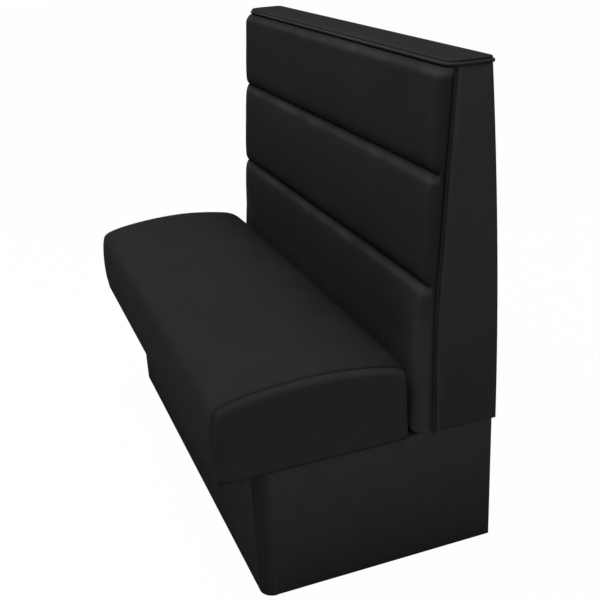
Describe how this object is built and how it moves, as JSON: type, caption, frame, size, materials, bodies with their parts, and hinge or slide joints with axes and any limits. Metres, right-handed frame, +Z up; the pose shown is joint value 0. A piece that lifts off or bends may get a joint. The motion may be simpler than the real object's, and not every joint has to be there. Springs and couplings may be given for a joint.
{
  "type": "restaurant booth seat",
  "caption": "Single restaurant booth bench with a crowned vinyl seat on a recessed plinth and a reclined back with horizontal channels under a piped cap.",
  "frame": {"origin": "on the floor, in the middle of the footprint's bounding box", "axes": "+Z up, -Y the way the sitter faces, +X along the bench towards the sitter's left"},
  "size_m": [1.178, 0.624, 1.067],
  "materials": {
    "black_laminate": "matt, faintly mottled",
    "plywood": "raw plywood",
    "softwood": "planed softwood",
    "black_vinyl": "black upholstery vinyl with a fine grain",
    "pad_vinyl": "black upholstery vinyl with a satin sheen",
    "piping_vinyl": "black vinyl piping",
    "foam": "open-cell polyurethane foam",
    "black_cloth": "non-woven cloth",
    "zinc_steel": "zinc-plated steel",
    "spring_steel": "oiled spring wire",
    "black_nylon": "moulded nylon"
  },
  "bodies": {
    "booth": {"back_board": "plywood", "back_bolts": "zinc_steel", "back_end_left": "plywood", "back_end_right": "plywood", "back_foam_bottom": "foam", "back_foam_middle": "foam", "back_foam_top": "foam", "back_mid_rail": "softwood", "back_nuts": "zinc_steel", "back_pad_cover": "pad_vinyl", "back_sill": "plywood", "back_stud_left": "plywood", "back_stud_right": "plywood", "back_top_rail": "softwood", "base_corner_left": "black_laminate", "base_corner_right": "black_laminate", "base_end_left": "black_laminate", "base_end_right": "black_laminate", "base_rear_board": "black_laminate", "base_rib_left": "plywood", "base_rib_right": "plywood", "bearer_rails": "softwood", "bolt_washers": "zinc_steel", "cap_board": "plywood", "cap_cover": "black_vinyl", "cap_welt": "piping_vinyl", "end_cover_left": "black_vinyl", "end_cover_right": "black_vinyl", "end_welt_left": "piping_vinyl", "end_welt_right": "piping_vinyl", "kick_panel": "black_laminate", "leveller_blocks": "softwood", "leveller_nuts": "zinc_steel", "outside_back_board": "plywood", "outside_back_cover": "black_vinyl", "rear_glue_posts": "softwood", "tie_blocks": "softwood"},
    "seat": {"seat_cover": "black_vinyl", "seat_foam": "foam", "seat_front_rail": "softwood", "seat_rear_rail": "softwood", "seat_end_rail_left": "softwood", "seat_end_rail_right": "softwood", "seat_stretchers": "softwood", "seat_corner_blocks": "softwood", "seat_springs": "spring_steel", "spring_clips": "spring_steel", "deck_cloth": "black_cloth", "seat_dust_cover": "black_cloth", "seat_cleats": "softwood", "cleat_screws": "zinc_steel"},
    "leveller_front_left": {"leveller_stem_front_left": "zinc_steel", "leveller_pad_front_left": "black_nylon"},
    "leveller_front_right": {"leveller_stem_front_right": "zinc_steel", "leveller_pad_front_right": "black_nylon"},
    "leveller_rear_left": {"leveller_stem_rear_left": "zinc_steel", "leveller_pad_rear_left": "black_nylon"},
    "leveller_rear_right": {"leveller_stem_rear_right": "zinc_steel", "leveller_pad_rear_right": "black_nylon"}
  },
  "joints": [
    {"name": "seat_lift", "type": "slide", "parent": "booth", "child": "seat", "axis": [0, 0, 1], "range_m": [0, 0.25]},
    {"name": "leveller_front_left_travel", "type": "slide", "parent": "booth", "child": "leveller_front_left", "axis": [0, 0, -1], "range_m": [0, 0.012]},
    {"name": "leveller_front_right_travel", "type": "slide", "parent": "booth", "child": "leveller_front_right", "axis": [0, 0, -1], "range_m": [0, 0.012]},
    {"name": "leveller_rear_left_travel", "type": "slide", "parent": "booth", "child": "leveller_rear_left", "axis": [0, 0, -1], "range_m": [0, 0.012]},
    {"name": "leveller_rear_right_travel", "type": "slide", "parent": "booth", "child": "leveller_rear_right", "axis": [0, 0, -1], "range_m": [0, 0.012]}
  ]
}
